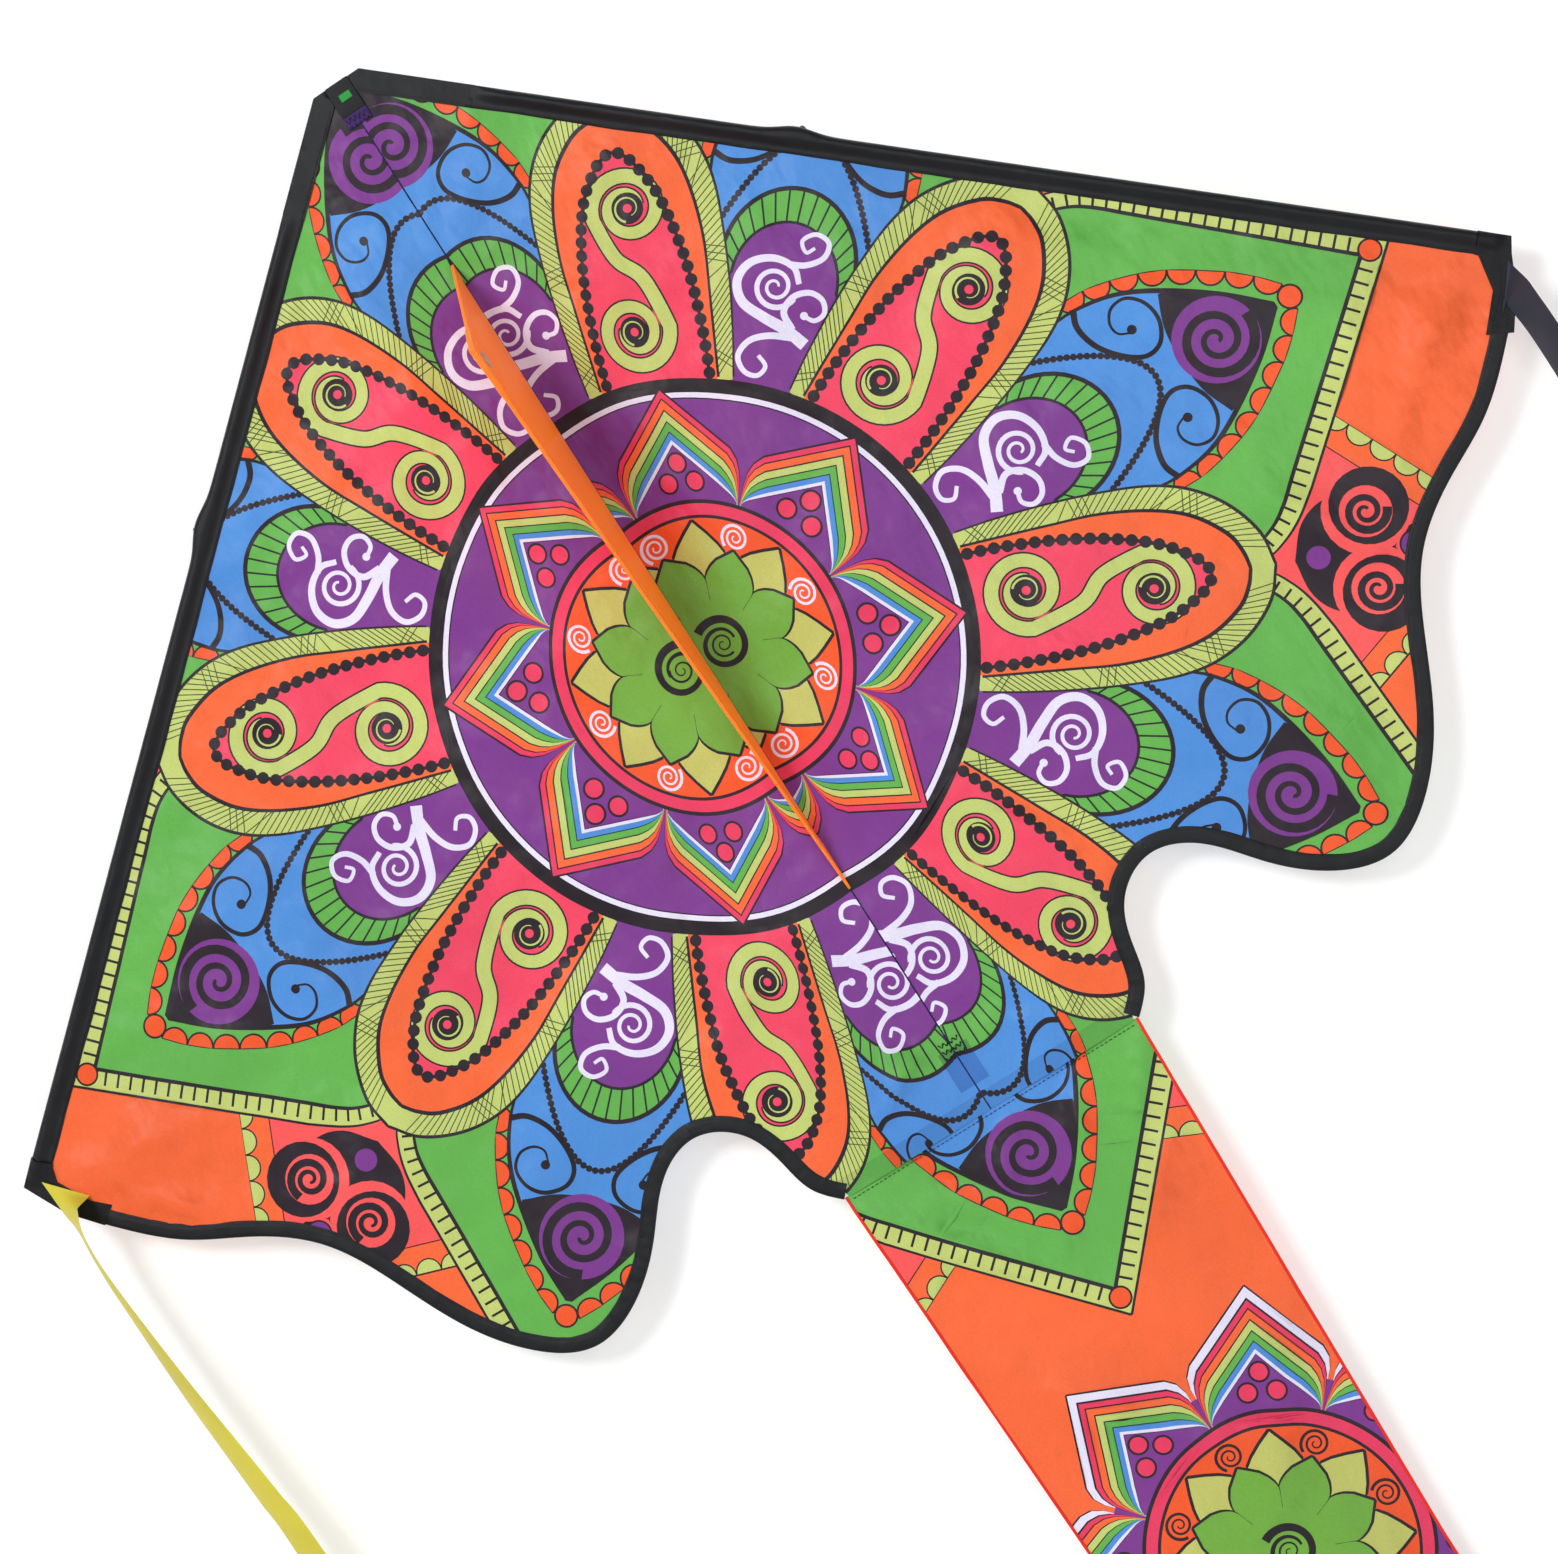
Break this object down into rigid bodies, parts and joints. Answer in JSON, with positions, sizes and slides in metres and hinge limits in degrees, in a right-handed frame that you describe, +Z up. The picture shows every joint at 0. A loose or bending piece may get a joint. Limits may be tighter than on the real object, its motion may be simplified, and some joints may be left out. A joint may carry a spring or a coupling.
{
  "type": "delta kite",
  "caption": "Delta kite with a printed cloth sail on fibreglass rods, a front keel with a tow eyelet, a spreader bar, wing-tip streamers and a long cloth tail.",
  "frame": {"origin": "top of the nose, on the spine's line in the plane of the sail, where the kite is held up", "axes": "+Z up along the spine towards the nose, +X towards the right wing seen from the keel side, -Y out of the keel side"},
  "size_m": [1.168, 0.1554, 2.286],
  "materials": {
    "sail_print": "satin",
    "black_cloth": "satin",
    "black_webbing": "matte",
    "keel_cloth": "satin",
    "tail_print": "satin",
    "streamer_yellow": "satin",
    "streamer_black": "satin",
    "rod": "satin",
    "cap": "matte",
    "fitting": "satin",
    "eyelet": "satin"
  },
  "bodies": {
    "spine": {"spine_rod": "rod", "spine_cap_nose": "cap", "spine_cap_tail": "cap", "spine_sleeve": "black_cloth", "spine_pocket_nose": "black_webbing", "spine_pocket_tail": "black_webbing", "sail_center": "sail_print", "neck_binding_right": "black_cloth", "neck_binding_left": "black_cloth"},
    "wing_right": {"sail_right": "sail_print", "leading_sleeve_right": "black_cloth", "leading_rod_right": "rod", "leading_cap_inner_right": "cap", "leading_cap_outer_right": "cap", "tip_patch_right": "black_webbing", "trailing_binding_right": "black_cloth", "spreader_fitting_right": "fitting"},
    "wing_left": {"sail_left": "sail_print", "leading_sleeve_left": "black_cloth", "leading_rod_left": "rod", "leading_cap_inner_left": "cap", "leading_cap_outer_left": "cap", "tip_patch_left": "black_webbing", "trailing_binding_left": "black_cloth", "spreader_fitting_left": "fitting"},
    "spreader": {"spreader_rod": "rod", "spreader_cap_right": "cap", "spreader_cap_left": "cap"},
    "keel": {"keel_panel": "keel_cloth", "keel_hem": "keel_cloth", "keel_tow_patch": "keel_cloth", "keel_tow_eyelet": "eyelet"},
    "tail": {"tail_panel": "tail_print"},
    "streamer_right": {"streamer_right": "streamer_black"},
    "streamer_left": {"streamer_left": "streamer_yellow"}
  },
  "joints": [
    {"name": "wing_right_fold", "type": "hinge", "parent": "spine", "child": "wing_right", "pos_m": [0.009, 0, -0.4], "axis": [0, 0, -1], "range_deg": [0, 60]},
    {"name": "wing_left_fold", "type": "hinge", "parent": "spine", "child": "wing_left", "pos_m": [-0.009, 0, -0.4], "axis": [0, 0, 1], "range_deg": [0, 60]},
    {"name": "keel_swing", "type": "hinge", "parent": "spine", "child": "keel", "pos_m": [0, -0.001, -0.38], "axis": [0, 0, 1], "range_deg": [-28, 28]},
    {"name": "tail_swing", "type": "hinge", "parent": "spine", "child": "tail", "pos_m": [0, 0, -0.7988], "axis": [-1, 0, 0], "range_deg": [0, 60]},
    {"name": "spreader_release", "type": "slide", "parent": "spine", "child": "spreader", "axis": [0, 1, 0], "range_m": [0, 0.012]},
    {"name": "streamer_right_swing", "type": "hinge", "parent": "wing_right", "child": "streamer_right", "pos_m": [0.559, -0.0022, -0.53], "axis": [1, 0, 0], "range_deg": [-60, 0]},
    {"name": "streamer_left_swing", "type": "hinge", "parent": "wing_left", "child": "streamer_left", "pos_m": [-0.559, -0.0022, -0.53], "axis": [1, 0, 0], "range_deg": [-60, 0]}
  ],
  "couplings": [
    {"joint": "wing_left_fold", "follows": "wing_right_fold", "ratio": 1}
  ]
}
